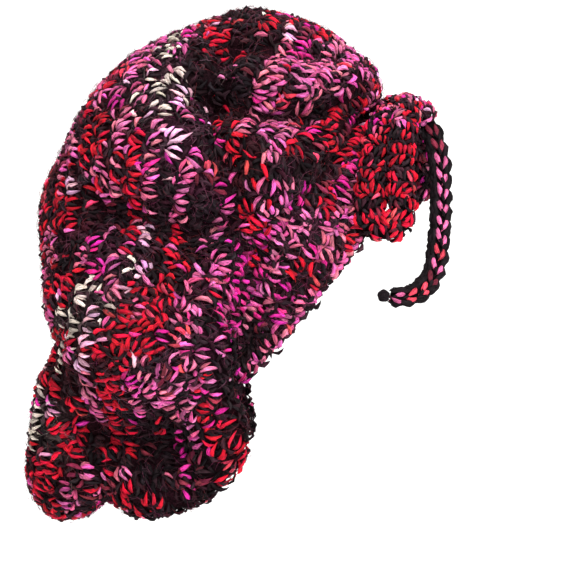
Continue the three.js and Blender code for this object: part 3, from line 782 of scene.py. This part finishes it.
def crochet_pieces(name, petals, rng, bright_sides, black_sides, groups=(("all", everywhere),)):
    """Splits the strands into the named groups and into dyed and black yarn, one mesh each."""
    start, bend, end, out, girth, dyed = petals
    made = []
    for group, inside in groups:
        for kind, sides, rings, tones, look in (
            ("bright", bright_sides, 4, BRIGHT_TONES, bright_look),
            ("black", black_sides, 3, BLACK_TONES, black_look),
        ):
            mine = inside(start) & ((dyed == BLACK) == (kind == "black"))
            if not mine.any():
                continue
            count = mine.sum()
            colour = DYES[dyed[mine]] * rng.uniform(*tones, (count, 1))
            colour *= 1 + rng.uniform(-1, 1, (count, 3)) * HUE_REACH * HUE_SPREAD[dyed[mine], None]
            if kind == "black":
                colour += BLACK_HAZE * rng.random((count, 1)) ** 2.2 * nearby_dye(start[mine])
            parts = petal_arrays(
                start[mine], bend[mine], end[mine], out[mine], girth[mine], girth[mine] * PETAL_DEPTH,
                colour, sides, rings, rng.uniform(0, 40, count))
            made.append(woven_object(f"{name}_{group}_{kind}_stitches", parts, look))
    return made


# The bag: a thick slack hood, gathered behind the band and hanging in two lobes beside the nape.
# Its ground is one closed skin, inner and outer, with the stitches standing on both.
ROOT_DEPTH, GROUND_LINING, LINING_DEPTH, LINING_ROOT = 1.2, WALL - 0.9, WALL - 0.6, WALL - 0.8
GROUND_HAZE = 0.02


def ground_shape(first, last):
    def shape(around, along):
        inner_side = along < 0.5
        share = np.where(inner_side, 1 - along * 2, along * 2 - 1)
        inward = np.where(inner_side, GROUND_LINING, ROOT_DEPTH)
        points = skin_point(first + (last - first) * share, around * 2 * np.pi, inward)
        return points, GROUND + GROUND_HAZE * nearby_dye(points)

    return shape


def near_side(points):
    return points[:, 1] <= 0


def far_side(points):
    return points[:, 1] > 0


bag_ground = shaped_grid("bag_ground", 140, 221, ground_shape(SEAM + 0.02, POLE - 0.01), ground_look)
bag_rng = np.random.default_rng(21)
bag_place, bag_angle, bag_row = stitch_places(
    SEAM + 0.05, POLE - 0.1, row_gap=9.6, pitch=10.2, inward=ROOT_DEPTH, least=8.2)
bag_petals = crochet_petals(bag_place, bag_angle, bag_row, ROOT_DEPTH, 1.0, bag_rng)
bag_pieces = crochet_pieces("bag", bag_petals, bag_rng, 5, 4, (("right", near_side), ("left", far_side)))
lining_places = stitch_places(
    SEAM + 0.1, POLE - 0.3, row_gap=9.5, pitch=10.0, inward=LINING_DEPTH, least=8.0)
lining_petals = crochet_petals(
    *lining_places, LINING_ROOT, 1.3, bag_rng, face=-1.0, stitches=(LINING_STITCH, LINING_STITCH))
bag_pieces += crochet_pieces("bag_inside", lining_petals, bag_rng, 4, 3)
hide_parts("bag")
for piece in (bag_ground, *bag_pieces):
    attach(piece, "root")


# The brim band: a firmer strip of the same crochet round the face opening, worked a little
# tighter than the bag, and finished with a chain of three strands worked over its rim.
band_ground = shaped_grid("band_ground", 200, 41, ground_shape(0.0, SEAM), ground_look)
band_rng = np.random.default_rng(34)
band_place, band_angle, band_row = stitch_places(
    0.05, SEAM, row_gap=9.2, pitch=9.8, inward=ROOT_DEPTH, least=7.8)
band_petals = crochet_petals(band_place, band_angle, band_row, ROOT_DEPTH, 0.96, band_rng)
band_pieces = crochet_pieces("band", band_petals, band_rng, 5, 4)
inside_places = stitch_places(0.1, SEAM, row_gap=8.5, pitch=9.5, inward=LINING_DEPTH, least=7.4)
inside_petals = crochet_petals(
    *inside_places, LINING_ROOT, 1.25, band_rng, face=-1.0, stitches=(LINING_STITCH, LINING_STITCH))
band_pieces += crochet_pieces("band_inside", inside_petals, band_rng, 4, 3)

RIM_SAMPLES, CHAIN_PITCH, CHAIN_STEP, CHAIN_FOOT, CHAIN_RISE = 1441, 5.2, 3.4, 0.35, 1.2
CHAIN_WIDTHS, CHAIN_BLACK = (3.4, 3.2, 3.8), 0.35
rim_angles = np.linspace(0, 2 * np.pi, RIM_SAMPLES)
rim_line = skin_point(np.zeros(RIM_SAMPLES), rim_angles, np.full(RIM_SAMPLES, WALL / 2))
rim_run = run_along(rim_line)
rim_count = int(round(rim_run[-1] / CHAIN_PITCH))
rim_at = np.interp((np.arange(rim_count) + 0.5) * rim_run[-1] / rim_count, rim_run, rim_angles)
zeros = np.zeros(rim_count)
rim_way = unit(skin_point(zeros, rim_at, zeros) - skin_point(zeros + 0.1, rim_at, zeros))
rim_out = smooth_normal(zeros, rim_at)
rim_step = unit(np.cross(rim_out, rim_way)) * CHAIN_STEP
shares = dye_and_shade_shares(skin_point(zeros, rim_at, zeros))
rim_dyes = dyes_along_rows(shares, np.arange(rim_count) // 40, band_rng)
rim_dyes = np.where(band_rng.random(rim_count) < CHAIN_BLACK, BLACK, rim_dyes)
outer_foot = skin_point(zeros + CHAIN_FOOT, rim_at, zeros + ROOT_DEPTH)
edge_middle = skin_point(zeros, rim_at, zeros + WALL / 2)
inner_foot = skin_point(zeros + CHAIN_FOOT, rim_at, zeros + WALL - ROOT_DEPTH)
edge_top = edge_middle + rim_way * CHAIN_RISE
chain_out = (outer_foot - rim_step, edge_top + rim_out * 5.0, edge_middle + rim_step)
chain_in = (inner_foot - rim_step, edge_top - rim_out * 4.8, edge_middle + rim_step)
edge_step, edge_back = rim_step * 1.1, rim_way * 1.4
chain_edge = (
    edge_middle - edge_step - edge_back, edge_middle + rim_way * 3.6, edge_middle + edge_step - edge_back)
rim_petals = [np.concatenate(a) for a in (
    *zip(chain_out, chain_in, chain_edge), (rim_out, -rim_out, rim_way),
    [zeros + width for width in CHAIN_WIDTHS],
    (rim_dyes, np.roll(rim_dyes, 3), np.where(np.arange(rim_count) % 2, BLACK, np.roll(rim_dyes, 5))),
)]
band_pieces += crochet_pieces("band_rim", rim_petals, band_rng, 6, 5)
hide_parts("brim_band")
for piece in (band_ground, *band_pieces):
    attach(piece, "root")


# The bow: two loops of the same crocheted cord, each down behind and up in front, from a knot
# that lies across the top of the band with a bead in front where the tie leaves it.
LOOP_WIDTH, LOOP_THICKNESS = 16, 11
RIGHT_LOOP = np.array([
    [68.5, -15.5, -58.5], [68.5, -21, -58.5], [67.8, -31, -61.3], [64.8, -44.3, -67], [61.4, -58.3, -77.8],
    [58, -69.3, -92.8], [55.6, -76, -108], [55, -78.6, -124], [56.3, -79, -129.5], [59.9, -79, -133],
    [64.8, -79, -134.3], [69.7, -79, -133], [73.3, -79, -129.5], [74.6, -78.8, -124], [74.6, -78, -110],
    [73.8, -75, -96], [75, -69.5, -81.5], [78.5, -58, -67], [81, -42, -57.5], [82.2, -24, -52.8],
    [82, -15.5, -52.8],
])
LEFT_LOOP = np.array([
    [68.5, 15.5, -58.5], [68.5, 20, -58.5], [72.5, 29.5, -63], [76.5, 41, -72], [79.2, 50.6, -82.5],
    [81, 57.8, -95], [83, 58.2, -101], [86, 57, -104.8], [90, 55, -106.3], [94, 52.5, -105],
    [97, 50, -101.8], [98, 48, -96.5], [97, 43.5, -84], [93, 36.5, -70], [86.5, 26.5, -56.5],
    [81.5, 20.5, -51.5], [81.5, 15.5, -51.5],
])


def carried_frames(line):
    """Directions across a strand, carried along it without twisting, first across then through."""
    way = unit(np.gradient(line, axis=0))
    axis = np.eye(3)[2 - int(np.argmin(np.abs(way[0][::-1])))]
    across = [unit(np.cross(way[0], np.cross(way[0], axis)))]
    for here in way[1:]:
        across.append(unit(across[-1] - here * np.dot(across[-1], here)))
    across = np.array(across)
    return way, across, np.cross(way, across)


def worked_row(stitch, centre, side, up, out, shares, size_of, rise, droop, girths, rng):
    """One row of stitches round a cord or knot, each strand of the size that size_of gives its name."""
    strands = []
    for name, start, bend, end, girth, dyed_share in stitch:
        size = size_of(name)
        ends = []
        for point in (start, bend, end):
            a, c, h = np.array(point)[:, None, None] + rng.normal(0, 0.3, (3, len(centre), 1))
            ends.append(centre + side * a * size + up * c * size + out * (h * rise - a ** 2 * droop))
        dyed = np.array([rng.choice(8, p=p) if rng.random() < dyed_share else BLACK for p in shares])
        strands.append((*ends, out, girth * rng.uniform(*girths, len(centre)), dyed))
    return strands


CORD_STITCHES = [
    [strand for strand in stitch if strand[0] != "right_black"] for stitch in (BACK_STITCH, FRONT_STITCH)
]


def cord_petals(line, width, thickness, shares_at, pitch, columns, rng):
    """Crochet stitches wrapped round a cord, as the same strands as on the bag."""
    way, across, through = carried_frames(line)
    rows = int(round(run_along(line)[-1] / pitch))

    def size_of(name):
        return (0.7 if "black" in name else 0.84) * rng.uniform(0.85, 1.12, (columns, 1))

    gathered = []
    for row in range(rows):
        share = np.full(columns, (row + 0.5) / rows)
        turn = 2 * np.pi * (np.arange(columns) + 0.5 * (row % 2)) / columns + 0.4
        centre, along, wide, deep = (at_reach(a, share) for a in (line, way, across, through))
        cos, sin = np.cos(turn)[:, None], np.sin(turn)[:, None]
        out = unit(wide * cos / (width / 2) + deep * sin / (thickness / 2))
        centre = centre + wide * cos * (width / 2 - 1.5) + deep * sin * (thickness / 2 - 1.5)
        side = unit(np.cross(along, out))
        lean = rng.normal(0, 0.3, (columns, 1)) + 0.3 * (-1) ** row
        side, up = side * np.cos(lean) + along * np.sin(lean), along * np.cos(lean) - side * np.sin(lean)
        gathered += worked_row(
            CORD_STITCHES[row % 2], centre, side, up, out, shares_at(centre), size_of,
            rise=0.68, droop=0.015, girths=(0.85, 1.1), rng=rng)
    return joined(gathered)


def plain_shares(*weights):
    """One set of dye shares for the whole of a piece."""
    shares = np.array(weights, float) / sum(weights)
    return lambda points: np.broadcast_to(shares, (len(points), 8))


def right_loop_shares(points):
    low = ease(-points[:, 2], 62, 84)[:, None]
    upper = np.array([2.0, 0.8, 1.0, 2.2, 0.2, 0.0, 1.4, 3.0])
    lower = np.array([6.0, 0.9, 0.1, 0.1, 0.0, 0.0, 1.0, 3.4])
    shares = upper * (1 - low) + lower * low
    return shares / shares.sum(axis=1, keepdims=True)


bow_rng = np.random.default_rng(55)
bow_pieces = []
# The left loop is the far one: its heavy black and dusky shares are painted shade.
for name, route, shares_at, node in (
    ("right_loop", RIGHT_LOOP, right_loop_shares, "bow_loop_right"),
    ("left_loop", LEFT_LOOP, plain_shares(0.4, 0.1, 0.6, 1.0, 0.1, 0, 2.4, 6), "bow_loop_left"),
):
    line, _ = smooth_route(route, 1.5)
    _, across, through = carried_frames(line)
    core = cord_core(
        f"{name}_core", line[1:-1], through[1:-1], across[1:-1], LOOP_WIDTH - 2.6, LOOP_THICKNESS - 2.6)
    petals = cord_petals(line, LOOP_WIDTH, LOOP_THICKNESS, shares_at, 8.2, 5, bow_rng)
    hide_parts(node)
    bow_pieces += [core, *crochet_pieces(name, petals, bow_rng, 6, 5)]


# The knot is one turn of the cord pulled tight across the roots of the loops, with a bead of cord
# in front, which the free tie leaves. Both are dark balls, pulled out of round, with stitches on.
def round_petals(centre, radii, rows, rng, shares_at):
    gathered = []
    for row in range(rows):
        tilt = np.pi * (row + 0.5) / rows
        count = max(2, int(round(2 * np.pi * max(radii[0], radii[2]) * math.sin(tilt) / 8.2)))
        turn = 2 * np.pi * (np.arange(count) + 0.5 * (row % 2)) / count
        ball = np.stack([
            np.sin(tilt) * np.cos(turn), np.full(count, np.cos(tilt)), np.sin(tilt) * np.sin(turn)], axis=1)
        points = np.array(centre) + ball * (np.array(radii) - 1.2)
        out = unit(ball / np.array(radii))
        side = unit(np.cross(np.array([0.0, 1.0, 0.0]), out))
        up = np.cross(out, side)
        gathered += worked_row(
            FRONT_STITCH if row % 2 else BACK_STITCH, points, side, up, out, shares_at(points),
            lambda name: 0.78, rise=0.7, droop=0.0, girths=(0.8, 1.05), rng=rng)
    return joined(gathered)


def ball_ground(name, centre, radii):
    bm = bmesh.new()
    bmesh.ops.create_uvsphere(bm, u_segments=32, v_segments=20, radius=1)
    layer = bm.verts.layers.float_color.new("dye")
    for vert in bm.verts:
        vert[layer] = (*GROUND, 1)
        vert.co = [(c + v * r) * MM for c, v, r in zip(centre, vert.co, radii)]
    return object_from_bmesh(name, bm, ground_look)


BARREL = ([75, 0, -55.9], [12.0, 15.0, 9.8])
BEAD = ([91, -3, -57.5], [8.5, 9.0, 7.5])
barrel_ground = ball_ground("knot_ground", BARREL[0], [r - 1.4 for r in BARREL[1]])
bead_ground = ball_ground("knot_bead_ground", BEAD[0], [r - 1.2 for r in BEAD[1]])
barrel_petals = round_petals(*BARREL, 4, bow_rng, plain_shares(5, 1.6, 0.4, 3.0, 0.4, 0, 0.6, 1.2))
bead_petals = round_petals(*BEAD, 3, bow_rng, plain_shares(0.4, 0.6, 2.0, 6.0, 1.4, 0, 0.3, 0.8))
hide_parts("bow_knot")
bow_pieces += [barrel_ground, bead_ground]
bow_pieces += crochet_pieces("knot", barrel_petals, bow_rng, 6, 5)
bow_pieces += crochet_pieces("knot_bead", bead_petals, bow_rng, 6, 5)
for piece in bow_pieces:
    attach(piece, "root")


# The fuzz of the black yarn: short fine hairs that lie over the stitches and stand off the edge
# of the cloth, dark and brownish, with a little of the dye beside them.
def hair_arrays(root, way, out, length, lift, radius, colour, rng):
    count, rings = len(root), 3
    share = np.linspace(0, 1, rings)[None, :, None]
    curl = unit(np.cross(way, out)) * rng.normal(0, 0.35, (count, 1))
    centre = root[:, None] + way[:, None] * length[:, None, None] * share
    centre = centre + out[:, None] * lift[:, None, None] * np.sin(share * np.pi * 0.8)
    centre = centre + curl[:, None] * length[:, None, None] * share ** 2
    side = unit(np.cross(way, out))
    turn = 2 * np.pi * np.arange(3) / 3
    thin = np.array([1.0, 0.9, 0.4])[None, :, None, None] * radius
    ring = (centre[:, :, None] + side[:, None, None] * np.cos(turn)[None, None, :, None] * thin
            + out[:, None, None] * np.sin(turn)[None, None, :, None] * thin)
    offset = (np.arange(count) * rings * 3)[:, None, None]
    points = ring.reshape(-1, 3)
    return (points, np.zeros((0, 3), int), (tube_quads(rings, 3, 0)[None] + offset).reshape(-1, 4),
            np.repeat(colour, rings * 3, axis=0), points * 0.8)


HAIRS_A_STITCH, HAIR_RADIUS, HAIR_DEPTH = 7, 0.09, -0.4
HAIR_LENGTHS, HAIR_LIFTS, HAIR_HAZE = (4, 11), (0.6, 3.0), 0.2
HAIR_DYE = 0.5 * np.array(dye(88, 66, 72))
hair_look = yarn_look("fuzz_hair", specular=0.03, tones=(0.6, 1.4), bump_height=0.0001)
hair_rng = np.random.default_rng(89)
for name, place, angle, slot in (
    ("bag_fuzz", bag_place, bag_angle, "bag_crochet"), ("band_fuzz", band_place, band_angle, "band_crochet"),
):
    count = len(place) * HAIRS_A_STITCH
    place = np.repeat(place, HAIRS_A_STITCH) + hair_rng.uniform(-0.12, 0.12, count)
    place = np.clip(place, 0.02, POLE - 0.1)
    angle = np.repeat(angle, HAIRS_A_STITCH) + hair_rng.uniform(-0.05, 0.05, count)
    centre, across, along, out = stitch_frames(place, angle, HAIR_DEPTH)
    spin = hair_rng.uniform(0, 2 * np.pi, (count, 1))
    way = across * np.cos(spin) + along * np.sin(spin) + out * hair_rng.uniform(-0.05, 0.2, (count, 1))
    shares = dye_and_shade_shares(centre)
    tint = np.array([hair_rng.choice(8, p=p) for p in shares])
    colour = HAIR_DYE + HAIR_HAZE * DYES[tint]
    root = centre + out * hair_rng.uniform(-0.5, 0.9, (count, 1))
    hairs = hair_arrays(
        root, unit(way), out, hair_rng.uniform(*HAIR_LENGTHS, count),
        hair_rng.uniform(*HAIR_LIFTS, count), HAIR_RADIUS, colour, hair_rng)
    fuzz = woven_object(name, hairs, hair_look)
    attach(fuzz, "root")
